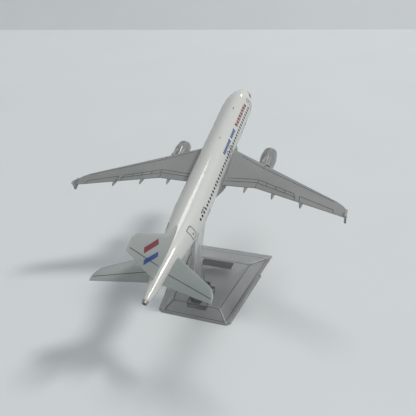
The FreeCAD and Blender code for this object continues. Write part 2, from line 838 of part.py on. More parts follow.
def main():
    """Build every piece, set the aircraft on its stand and write one file per piece."""
    outer = fuselage_solid(0)
    skin = fuselage_solid(-seat_gap)
    inner = fuselage_solid(shell_wall)
    lip_outer = fuselage_solid(shell_wall + fit_gap / 2)
    lip_inner = fuselage_solid(shell_wall + lip_wall)

    wing = left_wing()
    tailplane = left_tailplane(skin)
    aircraft = {
        "fuselage_upper_shell": upper_shell(outer, inner),
        "fuselage_lower_shell": lower_shell(outer, inner, lip_outer, lip_inner),
        "tail_cone_tip": tail_tip(outer),
        "wing_centre_fairing": fairing(skin),
        "vertical_fin": vertical_fin(skin),
        "belly_screws": Part.makeCompound([screw(x, 0, 0) for x in screw_stations()]),
    }
    pairs = {
        "wing": wing,
        "tailplane": tailplane,
        "engine_nacelle": left_nacelle(),
        "engine_strut": left_strut(wing),
        "engine_fan": left_fan(),
        "exhaust_core": left_core(),
    }
    for name, shape in pairs.items():
        aircraft["left_" + name] = shape
        aircraft["right_" + name] = mirrored(shape)

    # the aircraft's pad comes down on the pylon's shoulder, then the overall box is centred
    lean = math.radians(pitch)
    fin_top = fin_root_height + fin_height
    fin_back = fin_le + fin_sweep_slope * fin_height + fin_tip_chord
    reach_nose = pad_station * math.cos(lean) - (belly_drop - nose_droop) * math.sin(lean)
    reach_fin = (fin_back - pad_station) * math.cos(lean) + (fin_top + belly_drop) * math.sin(lean)
    shoulder_x = (reach_fin - reach_nose) / 2
    x_rear = shoulder_x - shoulder_setback
    for name, shape in aircraft.items():
        shape.translate(V(pad_station, 0, belly_drop))
        shape.rotate(V(0, 0, 0), V(0, 1, 0), -pitch)
        shape.translate(V(shoulder_x, 0, shoulder_height))
        shape.exportStep("parts/" + name + ".step")
    stand_base(x_rear).exportStep("parts/stand_base.step")
    stand_pylon(x_rear).exportStep("parts/stand_pylon.step")
    label(x_rear).exportStep("parts/label_plate.step")


main()
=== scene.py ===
import json
import logging
import math
from dataclasses import dataclass
from enum import Enum
from typing import Callable, Iterable, Sequence

import bmesh
import bpy
from mathutils import Matrix, Vector
from mathutils.bvhtree import BVHTree


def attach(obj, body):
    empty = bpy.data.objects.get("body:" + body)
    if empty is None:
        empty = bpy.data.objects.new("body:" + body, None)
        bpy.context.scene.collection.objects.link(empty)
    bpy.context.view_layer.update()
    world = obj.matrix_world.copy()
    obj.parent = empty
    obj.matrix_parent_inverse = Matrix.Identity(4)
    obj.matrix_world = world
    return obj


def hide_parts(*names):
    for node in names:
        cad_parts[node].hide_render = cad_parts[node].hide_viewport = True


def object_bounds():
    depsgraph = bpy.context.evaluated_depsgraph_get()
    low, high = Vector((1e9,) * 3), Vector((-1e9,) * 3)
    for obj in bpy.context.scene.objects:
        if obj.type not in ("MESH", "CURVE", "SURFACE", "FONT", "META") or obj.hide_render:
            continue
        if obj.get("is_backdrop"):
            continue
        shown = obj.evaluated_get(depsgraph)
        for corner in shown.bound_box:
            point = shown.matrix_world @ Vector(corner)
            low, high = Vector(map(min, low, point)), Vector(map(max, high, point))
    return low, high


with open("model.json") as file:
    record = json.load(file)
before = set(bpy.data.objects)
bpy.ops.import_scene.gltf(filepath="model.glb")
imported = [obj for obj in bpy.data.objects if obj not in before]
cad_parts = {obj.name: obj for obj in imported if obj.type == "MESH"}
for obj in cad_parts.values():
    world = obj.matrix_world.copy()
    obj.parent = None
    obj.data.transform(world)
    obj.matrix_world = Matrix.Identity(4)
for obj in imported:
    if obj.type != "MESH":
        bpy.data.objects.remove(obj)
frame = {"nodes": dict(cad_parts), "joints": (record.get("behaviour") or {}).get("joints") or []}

log = logging.getLogger("desk_airliner")

MM = 0.001
Point = tuple[float, float]
Colour = tuple[float, float, float]


class Side(Enum):
    """Which side of the aircraft a piece is on; the value is the sign of its y."""

    LEFT = 1
    RIGHT = -1

    @property
    def word(self) -> str:
        """The side's name as the CAD nodes spell it."""
        return self.name.lower()


class Body(Enum):
    """The CAD bodies that a piece can ride on."""

    BASE = "base"
    PYLON = "pylon"
    AIRLINER = "airliner"


# ---------------------------------------------------------------- the aircraft's own level frame


@dataclass(frozen=True)
class LevelFrame:
    """The aircraft drawn level: x is minus the station aft of the nose, in millimetres."""

    up: Vector
    nose: float
    floor: float
    belly_drop: float = 9.9

    @classmethod
    def from_cad(cls) -> "LevelFrame":
        """Read the pitch from the lift-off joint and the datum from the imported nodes.

        Returns:
            The level frame of the aircraft as it sits on its stand.
        """
        joint = next(j for j in frame["joints"] if j["name"] == "airliner_lift")
        up = Vector(joint["axis"]).normalized()
        forward = Vector((up.z, 0.0, -up.x))
        shell = frame["nodes"]["fuselage_upper_shell"].data.vertices
        saddle = frame["nodes"]["wing_centre_fairing"].data.vertices
        nose = max(v.co.dot(forward) for v in shell)
        floor = min(v.co.dot(up) for v in saddle)
        return cls(up, nose, floor)

    @property
    def forward(self) -> Vector:
        """The aircraft's nose direction in the row frame."""
        return Vector((self.up.z, 0.0, -self.up.x))

    def matrix(self) -> Matrix:
        """The transform from level millimetres to row metres."""
        origin = self.forward * self.nose + self.up * (self.floor + self.belly_drop * MM)
        turn = Matrix((self.forward, Vector((0, 1, 0)), self.up)).transposed().to_4x4()
        return Matrix.Translation(origin) @ turn @ Matrix.Scale(MM, 4)

    def pitch(self) -> float:
        """The nose-up angle in radians."""
        return math.atan2(-self.up.x, self.up.z)


# ---------------------------------------------------------------- shader node groups


class NodeBench:
    """A small helper that adds and links shader nodes in one tree."""

    def __init__(self, tree: bpy.types.NodeTree) -> None:
        """Keep the tree that nodes are added to."""
        self.tree = tree

    def add(self, kind: str, **values: object) -> bpy.types.Node:
        """Add a node and set its properties or sockets by name.

        Args:
            kind: The node's type name.
            values: Properties, or sockets written with underscores for spaces. A socket takes a
                number, a colour or another node's output.

        Returns:
            The new node.
        """
        node = self.tree.nodes.new(kind)
        for name, value in values.items():
            socket = node.inputs.get(name.replace("_", " "))
            if socket is None:
                setattr(node, name, value)
            else:
                self.feed(value, socket)
        return node

    def feed(self, value: object, target: bpy.types.NodeSocket) -> None:
        """Link a socket to an input, or set a number or a plain colour on it."""
        if isinstance(value, bpy.types.NodeSocket):
            self.tree.links.new(value, target)
        else:
            target.default_value = (*value, 1) if isinstance(value, tuple) else value

    def maths(self, operation: str, first: object, second: object) -> bpy.types.NodeSocket:
        """Add a clamped math node.

        Args:
            operation: The math node's operation.
            first: A socket or a number.
            second: A socket or a number.

        Returns:
            The node's output socket.
        """
        node = self.add("ShaderNodeMath", operation=operation, use_clamp=True)
        for socket, value in zip(node.inputs, (first, second)):
            self.feed(value, socket)
        return node.outputs[0]

    def ramp(self, source: bpy.types.NodeSocket, low: float, high: float) -> bpy.types.NodeSocket:
        """Stretch a value so that low becomes 0 and high becomes 1."""
        return self.add("ShaderNodeMapRange", From_Min=low, From_Max=high, Value=source).outputs["Result"]

    def noise(self, scale: object, detail: float, roughness: float = 0.5) -> bpy.types.NodeSocket:
        """Return noise over the object; the scale is a number or a socket."""
        place = self.add("ShaderNodeTexCoord").outputs["Object"]
        node = self.add("ShaderNodeTexNoise", Vector=place, Scale=scale, Detail=detail, Roughness=roughness)
        return node.outputs["Fac"]

    def blend(self, mask: bpy.types.NodeSocket, first: object, second: object) -> bpy.types.NodeSocket:
        """Return the first colour with the second laid over it where the mask is high."""
        return self.add("ShaderNodeMix", data_type="RGBA", Factor=mask, A=first, B=second).outputs["Result"]


def new_group(name: str, inputs: Sequence[tuple[str, str, object]],
              outputs: Sequence[tuple[str, str]]) -> tuple[NodeBench, bpy.types.Node, bpy.types.Node]:
    """Start a shader node group with named sockets.

    Args:
        name: The group's name.
        inputs: Name, socket type and default of each input.
        outputs: Name and socket type of each output.

    Returns:
        The bench, the group's input node and its output node.
    """
    tree = bpy.data.node_groups.new(name, "ShaderNodeTree")
    for label, kind, default in inputs:
        socket = tree.interface.new_socket(name=label, in_out="INPUT", socket_type=kind)
        socket.default_value = default
    for label, kind in outputs:
        tree.interface.new_socket(name=label, in_out="OUTPUT", socket_type=kind)
    bench = NodeBench(tree)
    return bench, tree.nodes.new("NodeGroupInput"), tree.nodes.new("NodeGroupOutput")


def build_dust_group() -> bpy.types.NodeTree:
    """Build the group that lays thin dust and handling marks over a colour.

    Returns:
        The node group, with a colour and a mask output.
    """
    bench, given, out = new_group(
        "settled_dust",
        [("Color", "NodeSocketColor", (0.8, 0.8, 0.8, 1)), ("Dust", "NodeSocketColor", (0.62, 0.6, 0.56, 1)),
         ("Amount", "NodeSocketFloat", 0.2), ("Scale", "NodeSocketFloat", 900.0)],
        [("Color", "NodeSocketColor"), ("Mask", "NodeSocketFloat")])
    broad = bench.ramp(bench.noise(55.0, 6.0, 0.62), 0.38, 0.72)
    fine = bench.ramp(bench.noise(given.outputs["Scale"], 3.0, 0.7), 0.45, 0.75)
    both = bench.maths("MULTIPLY", broad, bench.maths("ADD", fine, 0.35))
    mask = bench.maths("MULTIPLY", both, given.outputs["Amount"])
    bench.feed(bench.blend(mask, given.outputs["Color"], given.outputs["Dust"]), out.inputs["Color"])
    bench.feed(mask, out.inputs["Mask"])
    return bench.tree


def build_wear_group() -> bpy.types.NodeTree:
    """Build the group that rubs paint thin along edges and corners.

    Returns:
        The node group, with a colour and a mask output.
    """
    bench, given, out = new_group(
        "rubbed_edges",
        [("Color", "NodeSocketColor", (0.8, 0.8, 0.8, 1)), ("Worn", "NodeSocketColor", (0.6, 0.6, 0.6, 1)),
         ("Amount", "NodeSocketFloat", 0.5)],
        [("Color", "NodeSocketColor"), ("Mask", "NodeSocketFloat")])
    shape = bench.add("ShaderNodeNewGeometry")
    edge = bench.ramp(shape.outputs["Pointiness"], 0.53, 0.62)
    broken = bench.ramp(bench.noise(420.0, 5.0, 0.65), 0.42, 0.66)
    mask = bench.maths("MULTIPLY", bench.maths("MULTIPLY", edge, broken), given.outputs["Amount"])
    bench.feed(bench.blend(mask, given.outputs["Color"], given.outputs["Worn"]), out.inputs["Color"])
    bench.feed(mask, out.inputs["Mask"])
    return bench.tree


def build_texture_group() -> bpy.types.NodeTree:
    """Build the group of fine surface relief: sprayed paint's orange peel over casting ripple.

    Returns:
        The node group, with a height and a roughness-variation output.
    """
    bench, given, out = new_group(
        "sprayed_relief",
        [("Peel Scale", "NodeSocketFloat", 1400.0), ("Ripple Scale", "NodeSocketFloat", 160.0),
         ("Ripple", "NodeSocketFloat", 0.5)],
        [("Height", "NodeSocketFloat"), ("Variation", "NodeSocketFloat")])
    peel = bench.noise(given.outputs["Peel Scale"], 2.0)
    ripple = bench.noise(given.outputs["Ripple Scale"], 3.0, 0.55)
    scaled = bench.maths("MULTIPLY", ripple, given.outputs["Ripple"])
    bench.feed(bench.maths("ADD", bench.maths("MULTIPLY", peel, 0.4), scaled), out.inputs["Height"])
    bench.feed(ripple, out.inputs["Variation"])
    return bench.tree


class SharedGroups:
    """The node groups that every finish draws on, built once."""

    def __init__(self) -> None:
        """Build the three groups."""
        self.dust = build_dust_group()
        self.wear = build_wear_group()
        self.relief = build_texture_group()


def start_material(name: str) -> tuple[bpy.types.Material, NodeBench, bpy.types.Node]:
    """Start a material.

    Args:
        name: The material's name.

    Returns:
        The material, its bench and its shader node.
    """
    material = bpy.data.materials.new(name)
    material.use_nodes = True
    return material, NodeBench(material.node_tree), material.node_tree.nodes["Principled BSDF"]


def add_relief(bench: NodeBench, shader: bpy.types.Node, groups: SharedGroups, strength: float,
               distance: float, **shape: float) -> bpy.types.Node:
    """Give a shader the fine surface relief.

    Args:
        bench: The material's bench.
        shader: The shader that the relief feeds.
        groups: The shared node groups.
        strength: The bump's strength.
        distance: The bump's depth in metres.
        shape: Inputs of the relief group.

    Returns:
        The relief group's node.
    """
    relief = bench.add("ShaderNodeGroup", node_tree=groups.relief, **shape)
    bump = bench.add("ShaderNodeBump", Strength=strength, Distance=distance, Height=relief.outputs["Height"])
    bench.feed(bump.outputs["Normal"], shader.inputs["Normal"])
    return relief


# ---------------------------------------------------------------- finishes


@dataclass(frozen=True)
class PaintFinish:
    """A sprayed or printed coat over metal or moulded plastic."""

    name: str
    colour: Colour
    worn: Colour
    roughness: float = 0.32
    spread: float = 0.08
    coat: float = 0.3
    metallic: float = 0.0
    dust: float = 0.18
    wear: float = 0.5
    relief: float = 0.06
    specular: float = 0.5

    def build(self, groups: SharedGroups) -> bpy.types.Material:
        """Make the material.

        Args:
            groups: The shared node groups.

        Returns:
            The finished material.
        """
        material, bench, shader = start_material(self.name)
        material.diffuse_color = (*self.colour, 1)
        wear = bench.add("ShaderNodeGroup", node_tree=groups.wear, Color=self.colour, Worn=self.worn,
                         Amount=self.wear)
        dust = bench.add("ShaderNodeGroup", node_tree=groups.dust, Amount=self.dust,
                         Color=wear.outputs["Color"])
        relief = add_relief(bench, shader, groups, self.relief, 0.0002)
        swing = bench.maths("MULTIPLY", relief.outputs["Variation"], self.spread * 2)
        base = bench.maths("ADD", swing, self.roughness - self.spread)
        dusty = bench.maths("ADD", base, bench.maths("MULTIPLY", dust.outputs["Mask"], 0.5))
        for label, value in (("Base Color", dust.outputs["Color"]), ("Roughness", dusty),
                             ("Metallic", self.metallic), ("Coat Weight", self.coat),
                             ("Coat Roughness", 0.04), ("Specular IOR Level", self.specular)):
            bench.feed(value, shader.inputs[label])
        return material


@dataclass(frozen=True)
class ClearPlasticFinish:
    """Clear moulded styrene with faint flow marks, fine scuffs and a little dust."""

    name: str
    tint: Colour
    roughness: float = 0.03
    refraction: float = 1.5
    transmission: float = 1.0
    gloss: float = 1.0

    def build(self, groups: SharedGroups) -> bpy.types.Material:
        """Make the material.

        Args:
            groups: The shared node groups.

        Returns:
            The finished material.
        """
        material, bench, shader = start_material(self.name)
        dust = bench.add("ShaderNodeGroup", node_tree=groups.dust, Color=self.tint, Dust=(0.66, 0.67, 0.66),
                         Amount=0.22)
        haze = bench.maths("MULTIPLY", dust.outputs["Mask"], 0.6)
        add_relief(bench, shader, groups, 0.12, 0.0004, Peel_Scale=500.0, Ripple_Scale=90.0, Ripple=0.9)
        for label, value in (("Base Color", dust.outputs["Color"]),
                             ("Roughness", bench.maths("ADD", haze, self.roughness)),
                             ("Transmission Weight", self.transmission), ("Coat Weight", self.gloss),
                             ("Coat Roughness", 0.06), ("IOR", self.refraction)):
            bench.feed(value, shader.inputs[label])
        return material


class Finishes:
    """Every finish on the model, built once."""

    def __init__(self) -> None:
        """Build the shared groups and the materials."""
        groups = SharedGroups()
        bare = (0.55, 0.55, 0.54)

        def paint(name: str, colour: Colour, worn: Colour = bare, **look: float) -> bpy.types.Material:
            """Build one paint, ink or metal."""
            return PaintFinish(name, colour, worn, **look).build(groups)

        def clear(name: str, tint: Colour, **look: float) -> bpy.types.Material:
            """Build one clear plastic."""
            return ClearPlasticFinish(name, tint, **look).build(groups)

        self.white = paint("gloss_white_paint", (0.59, 0.60, 0.575), (0.5, 0.49, 0.47), roughness=0.5,
                           coat=0.7, dust=0.08, relief=0.03)
        self.wing = paint("wing_grey_paint", (0.215, 0.23, 0.225), roughness=0.48, coat=0.04)
        self.fin = paint("fin_pale_grey_paint", (0.325, 0.345, 0.34), roughness=0.32, coat=0.4)
        self.tailplane = paint("tailplane_blue_grey_paint", (0.25, 0.285, 0.28), roughness=0.36, coat=0.25)
        self.nacelle = paint("nacelle_grey_paint", (0.2, 0.21, 0.206), roughness=0.36, coat=1.0)
        self.lip = paint("inlet_lip_bright_metal", (0.6, 0.6, 0.6), (0.7, 0.7, 0.7), roughness=0.25,
                         coat=0.0, metallic=1.0, wear=0.2)
        self.fan = paint("fan_blade_dark_metal", (0.12, 0.12, 0.13), (0.3, 0.3, 0.3), roughness=0.38,
                         metallic=0.6, coat=0.0)
        # A near-black finish for the ring laid inside the fan nozzle, darker than the nacelle.
        self.nozzle_dark = paint("exhaust_dark_paint", (0.035, 0.035, 0.038), (0.2, 0.2, 0.2), roughness=0.6,
                          coat=0.0, dust=0.3)
        self.core = paint("core_warm_grey_metal", (0.27, 0.26, 0.25), roughness=0.42, metallic=0.5, coat=0.0)
        self.screw = paint("plated_screw_steel", (0.5, 0.5, 0.5), (0.7, 0.7, 0.7), roughness=0.28,
                           metallic=1.0, coat=0.0)
        self.window = paint("window_dark_ink", (0.012, 0.013, 0.018), (0.1, 0.1, 0.1), roughness=0.5,
                            coat=0.0, dust=0.02, wear=0.0, specular=0.2)
        self.line = paint("panel_line_ink", (0.03, 0.032, 0.035), (0.2, 0.2, 0.2), roughness=0.6,
                          dust=0.06, wear=0.0, coat=0.0, specular=0.2)
        self.red = paint("stripe_red_ink", (0.2, 0.008, 0.026), (0.6, 0.2, 0.2), roughness=0.5,
                         coat=0.05, dust=0.03, wear=0.0)
        self.blue = paint("stripe_blue_ink", (0.01, 0.055, 0.25), (0.2, 0.2, 0.5), roughness=0.5,
                          coat=0.05, dust=0.03, wear=0.0)
        # Painted reflection: the label plate is coloured dark maroon where the base shows the reflection of
        # the red print.
        self.label = paint("label_maroon_film", (0.07, 0.002, 0.045), (0.2, 0.1, 0.1), roughness=0.9,
                           coat=0.0, dust=0.1, wear=0.0)
        self.clear = clear("clear_styrene", (0.83, 0.83, 0.825), roughness=0.09, refraction=1.25,
                           transmission=0.94, gloss=0.8)
        self.clear_pylon = clear("clear_styrene_pylon", (0.72, 0.73, 0.72), roughness=0.05,
                                 refraction=1.16, transmission=0.9)
        # Painted glint: a pale, nearly opaque clear for rods laid along the base's outer edges, where light
        # catches them.
        self.painted_edge_glint = clear("clear_styrene_painted_glint", (0.56, 0.56, 0.55), roughness=0.15,
                                refraction=1.22, transmission=0.08)
        # Painted shade: a dark clear for thin rods laid inside the base's corners, where the edges show dark
        # lines.
        self.seam = clear("clear_styrene_seam", (0.12, 0.12, 0.125), roughness=0.2, refraction=1.22,
                          transmission=0.4, gloss=0.3)


# ---------------------------------------------------------------- mesh helpers


def finish_mesh(bm: bmesh.types.BMesh, name: str, material: bpy.types.Material, body: Body,
                sharp_degrees: float = 35.0) -> bpy.types.Object:
    """Turn a bmesh in row metres into a finished piece that rides on a body.

    Args:
        bm: The mesh, which is freed here.
        name: The piece's name.
        material: Its finish.
        body: The CAD body that it rides on.
        sharp_degrees: Edges that turn more than this stay sharp.

    Returns:
        The new object.
    """
    limit = math.radians(sharp_degrees)
    for face in bm.faces:
        face.smooth = True
    for edge in bm.edges:
        if len(edge.link_faces) == 2:
            edge.smooth = edge.calc_face_angle(0.0) < limit
    mesh = bpy.data.meshes.new(name)
    bm.to_mesh(mesh)
    bm.free()
    mesh.materials.append(material)
    piece = bpy.data.objects.new(name, mesh)
    bpy.context.scene.collection.objects.link(piece)
    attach(piece, body.value)
    log.info("%s: %d faces on %s", name, len(mesh.polygons), body.value)
    return piece


def smooth_copy(node: str, material: bpy.types.Material, body: Body, sharp_degrees: float = 28.0,
                flatten: bool = False) -> bpy.types.Object:
    """Stand a welded, smooth-shaded copy in for a CAD node.

    Args:
        node: The CAD node's name.
        material: The copy's finish.
        body: The body that the node is on.
        sharp_degrees: Edges that turn more than this stay sharp.
        flatten: Whether flat areas are merged into single faces.

    Returns:
        The copy.
    """
    bm = bmesh.new()
    bm.from_mesh(frame["nodes"][node].data)
    bmesh.ops.remove_doubles(bm, verts=bm.verts, dist=0.4e-5)
    bmesh.ops.dissolve_degenerate(bm, edges=bm.edges, dist=1e-6)
    if flatten:
        bmesh.ops.dissolve_limit(bm, angle_limit=math.radians(0.6), verts=bm.verts, edges=bm.edges)
    piece = finish_mesh(bm, node + "_skin", material, body, sharp_degrees)
    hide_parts(node)
    return piece


def turn_outward(faces: Iterable[bmesh.types.BMFace], outward: Callable[[Vector], Vector]) -> None:
    """Flip the faces that look into the piece.

    Args:
        faces: The faces of an open sheet.
        outward: Returns the direction away from the piece at a point.
    """
    for face in faces:
        face.normal_update()
        if face.normal.dot(outward(face.calc_center_median())) < 0:
            face.normal_flip()


def finish_ink(bm: bmesh.types.BMesh, depth: float, level: LevelFrame, name: str,
               material: bpy.types.Material) -> None:
    """Give sheets of ink their thickness and make them one piece of the aircraft.

    Args:
        bm: The sheets in level millimetres, which face outward.
        depth: The ink's thickness.
        level: The aircraft's level frame.
        name: The piece's name.
        material: The ink.
    """
    bmesh.ops.solidify(bm, geom=bm.faces[:], thickness=depth)
    bmesh.ops.transform(bm, matrix=level.matrix(), verts=bm.verts)
    finish_mesh(bm, name, material, Body.AIRLINER, 50)


class SurfaceProbe:
    """Lays ink on a CAD node's skin, in the aircraft's level millimetres."""

    reach = 30.0

    def __init__(self, node: str, level: LevelFrame) -> None:
        """Build the search tree of one node."""
        back = level.matrix().inverted()
        mesh = frame["nodes"][node].data
        points = [back @ v.co for v in mesh.vertices]
        self.tree = BVHTree.FromPolygons(points, [p.vertices[:] for p in mesh.polygons])

    def press(self, bm: bmesh.types.BMesh, sheet: Sequence[bmesh.types.BMVert], inward: Vector, lift: float,
              upright: bool = False) -> None:
        """Press a flat sheet of ink onto the skin.

        Args:
            bm: The mesh that the sheet is in.
            sheet: The sheet's vertices, in the xy plane.
            inward: The direction that the sheet is pressed in.
            lift: How far the sheet stands off the skin.
            upright: Whether the sheet's y is a height. What misses the skin then stays in the middle
                plane, and otherwise it is deleted.
        """
        lost = []
        for vert in sheet:
            middle = Vector((vert.co.x, 0, vert.co.y)) if upright else vert.co.copy()
            hit = self.tree.ray_cast(middle - inward * self.reach, inward)[0]
            if hit is None and not upright:
                lost.append(vert)
            else:
                vert.co = (middle if hit is None else hit) - inward * lift
        turn_outward({face for vert in sheet for face in vert.link_faces}, lambda _: -inward)
        bmesh.ops.delete(bm, geom=lost, context="VERTS")


def ribbon(bm: bmesh.types.BMesh, path: Sequence[Point], width: float, steps: int,
           rows: int = 1) -> list[bmesh.types.BMVert]:
    """Add a flat ribbon along a straight or broken path in the xy plane.

    Args:
        bm: The mesh that the ribbon is added to.
        path: The corner points of the ribbon's middle line.
        width: The ribbon's width.
        steps: Divisions along each run.
        rows: Divisions across the ribbon.

    Returns:
        The ribbon's vertices.
    """
    made: list[bmesh.types.BMVert] = []
    for start, end in zip(path, path[1:]):
        a, b = Vector((*start, 0)), Vector((*end, 0))
        run = b - a
        grid = bmesh.ops.create_grid(bm, x_segments=steps, y_segments=rows, size=0.5)["verts"]
        turn = Matrix.Rotation(math.atan2(run.y, run.x), 4, "Z")
        stretch = Matrix.Diagonal((run.length + width * 0.5, width, 1, 1))
        bmesh.ops.transform(bm, matrix=Matrix.Translation((a + b) / 2) @ turn @ stretch, verts=grid)
        made.extend(grid)
    return made


def spun(outline: Sequence[Point], segments: int, closed: bool = False) -> bmesh.types.BMesh:
    """Spin an outline of station and radius about the x axis.

    Args:
        outline: Station and radius of each corner.
        segments: Divisions round the axis.
        closed: Whether the outline is a closed loop.

    Returns:
        A new mesh in level millimetres, centred on the axis.
    """
    bm = bmesh.new()
    verts = [bm.verts.new((-station, 0, radius)) for station, radius in outline]
    edges = [bm.edges.new(pair) for pair in zip(verts, verts[1:])]
    if closed:
        edges.append(bm.edges.new((verts[-1], verts[0])))
    bmesh.ops.spin(bm, geom=verts + edges, cent=(0, 0, 0), axis=(1, 0, 0), angle=2 * math.pi,
                   steps=segments, use_merge=True)
    bmesh.ops.remove_doubles(bm, verts=bm.verts, dist=1e-4)
    bmesh.ops.recalc_face_normals(bm, faces=bm.faces)
    return bm


# ---------------------------------------------------------------- fuselage


@dataclass(frozen=True)
class Mark:
    """One printed mark on the body's side, filled, or an outline where it has a line width."""

    station: float
    height: float
    size: Point
    squareness: float = 3.0
    segments: int = 16
    lean: float = 0.0
    line: float = 0.0


def frame_mark(station: float, height: float, size: Point, line: float) -> Mark:
    """Return the outline of a door or hatch."""
    return Mark(station, height, size, 9.0, 40, 0.0, line)


@dataclass
class Fuselage:
    """The white body: its smooth upper shell, lower shell, tail tip and printed markings."""

    level: LevelFrame
    finishes: Finishes
    nose_length: float = 23.4
    cabin_length: float = 78.8
    tail_cone_length: float = 57.8
    half_width: float = 8.475
    half_height: float = 8.725
    nose_droop: float = 1.9
    nose_bluntness: float = 2.2
    tail_end_radius: float = 1.2
    tail_rise_ratio: float = 0.72
    tail_taper_power: float = 1.45
    split_height: float = -4.5
    tip_length: float = 1.5
    ink_lift: float = 0.03
    ink_depth: float = 0.06
    window_first: float = 21.3
    window_last: float = 110.2
    window_count: int = 39
    window_height: float = 3.0
    window_size: Point = (1.2, 1.5)
    segments: int = 112
    crown_angle: float = math.pi / 2 + 0.22

    def profile(self, station: float) -> Point:
        """Return the half-width and centre height at a station aft of the nose."""
        if station < self.nose_length:
            t = 1 - station / self.nose_length
            radius = self.half_width * math.sqrt(max(1 - t ** self.nose_bluntness, 0))
            return radius, -self.nose_droop * t * t
        aft = station - self.nose_length - self.cabin_length
        if aft <= 0:
            return self.half_width, 0.0
        t = aft / self.tail_cone_length
        shrink = (1 - self.tail_end_radius / self.half_width) * t ** self.tail_taper_power
        radius = self.half_width * (1 - shrink)
        return radius, (self.half_width - radius) * self.tail_rise_ratio

    def skin(self, station: float, angle: float, lift: float = 0.0) -> Vector:
        """Return a point on the body's skin.

        Args:
            station: Distance aft of the nose.
            angle: Angle round the body, 0 at the left side and 90 degrees at the crown.
            lift: Distance out from the skin.

        Returns:
            The point in level millimetres.
        """
        radius, centre = self.profile(station)
        tall = self.half_height / self.half_width
        y = (radius + lift) * math.cos(angle)
        z = centre + (radius * tall + lift) * math.sin(angle)
        return Vector((-station, y, z))

    def side_angle(self, side: Side, station: float, height: float) -> float:
        """Return the angle at which the skin is at a height on one side."""
        radius, centre = self.profile(station)
        rise = math.asin(max(-1, min(1, (height - centre) / (radius * self.half_height / self.half_width))))
        return rise if side is Side.LEFT else math.pi - rise

    def stations(self) -> list[float]:
        """Return the stations of the shell's rings, close together where it curves."""
        nose = [self.nose_length * (1 - math.cos(math.pi / 2 * i / 30)) for i in range(30)]
        cabin = [self.nose_length + self.cabin_length * i / 16 for i in range(16)]
        tail_start = self.nose_length + self.cabin_length
        tail = [tail_start + self.tail_cone_length * i / 48 for i in range(49)]
        return nose + cabin + tail

    def build_upper_shell(self) -> None:
        """Build the upper shell as one smooth skin with a crisp joint line below."""
        stations = self.stations()
        bm = bmesh.new()
        bmesh.ops.create_grid(bm, x_segments=len(stations) - 1, y_segments=self.segments, size=0.5)
        for vert in bm.verts:
            column = round((vert.co.x + 0.5) * (len(stations) - 1))
            vert.co = self.skin(stations[column], 2 * math.pi * (vert.co.y + 0.5))
        bmesh.ops.remove_doubles(bm, verts=bm.verts, dist=1e-4)
        end = self.nose_length + self.cabin_length + self.tail_cone_length - self.tip_length
        for point, normal in (((0, 0, self.split_height), (0, 0, -1)), ((-end, 0, 0), (-1, 0, 0))):
            geom = bm.verts[:] + bm.edges[:] + bm.faces[:]
            bmesh.ops.bisect_plane(bm, geom=geom, plane_co=point, plane_no=normal, clear_outer=True)
            rim = [edge for edge in bm.edges if edge.is_boundary]
            bmesh.ops.holes_fill(bm, edges=rim, sides=0)
        bmesh.ops.recalc_face_normals(bm, faces=bm.faces)
        seam = [edge for edge in bm.edges if edge.calc_face_angle(0) > math.radians(30)]
        bmesh.ops.bevel(bm, geom=seam, offset=0.07, affect="EDGES", segments=2, profile=0.5, material=-1)
        bmesh.ops.transform(bm, matrix=self.level.matrix(), verts=bm.verts)
        shell = finish_mesh(bm, "fuselage_upper_shell_skin", self.finishes.white, Body.AIRLINER, 30)
        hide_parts("fuselage_upper_shell")

    def wrap(self, verts: Iterable[bmesh.types.BMVert], side: Side, mark: Mark, size: Point) -> None:
        """Square off a unit circle's points and lay them on the skin.

        Args:
            verts: The circle's points.
            side: The side of the aircraft.
            mark: The mark that they belong to.
            size: Length along the body and height round it.
        """
        middle = self.side_angle(side, mark.station, mark.height)
        turn = 1 if side is Side.LEFT else -1
        for vert in verts:
            reach = vert.co.xy.length
            c, s = 0.0, 0.0
            if reach > 1e-6:
                c, s = vert.co.x / reach, vert.co.y / reach
                power = mark.squareness
                round_off = (abs(c) ** power + abs(s) ** power) ** (-1 / power)
                c, s = c * round_off * reach, s * round_off * reach
            along = mark.station + c * size[0] / 2 + s * size[1] / 2 * mark.lean
            radius = self.profile(along)[0]
            vert.co = self.skin(along, middle + turn * s * size[1] / 2 / radius, self.ink_lift)

    def lay(self, bm: bmesh.types.BMesh, side: Side, mark: Mark) -> None:
        """Add one mark to a sheet of ink."""
        made = bmesh.ops.create_circle(bm, cap_ends=True, cap_tris=not mark.line, radius=1.0,
                                       segments=mark.segments)["verts"]
        if not mark.line:
            self.wrap(made, side, mark, mark.size)
            return
        face = made[0].link_faces[0]
        band = bmesh.ops.inset_region(bm, faces=[face], thickness=0.1, use_boundary=True)["faces"]
        inner = set(face.verts)
        outer = {vert for part in band for vert in part.verts} - inner
        bmesh.ops.delete(bm, geom=[face], context="FACES_ONLY")
        for vert in inner:
            vert.co.normalize()
        self.wrap(outer, side, mark, mark.size)
        self.wrap(inner, side, mark, (mark.size[0] - 2 * mark.line, mark.size[1] - 2 * mark.line))

    def print_layer(self, name: str, material: bpy.types.Material, sides: Iterable[Side],
                    marks: Sequence[Mark]) -> None:
        """Print one colour of markings.

        Args:
            name: The piece's name.
            material: The ink.
            sides: The sides that the marks go on.
            marks: The marks.
        """
        bm = bmesh.new()
        for side in sides:
            for mark in marks:
                self.lay(bm, side, mark)
        turn_outward(bm.faces, lambda point: Vector((0, point.y, point.z - self.profile(-point.x)[1])))
        finish_ink(bm, self.ink_depth, self.level, name, material)

    def window_marks(self) -> list[Mark]:
        """Return the row of cabin windows."""
        gap = (self.window_last - self.window_first) / (self.window_count - 1)
        return [Mark(self.window_first + gap * index, self.window_height, self.window_size)
                for index in range(self.window_count)]

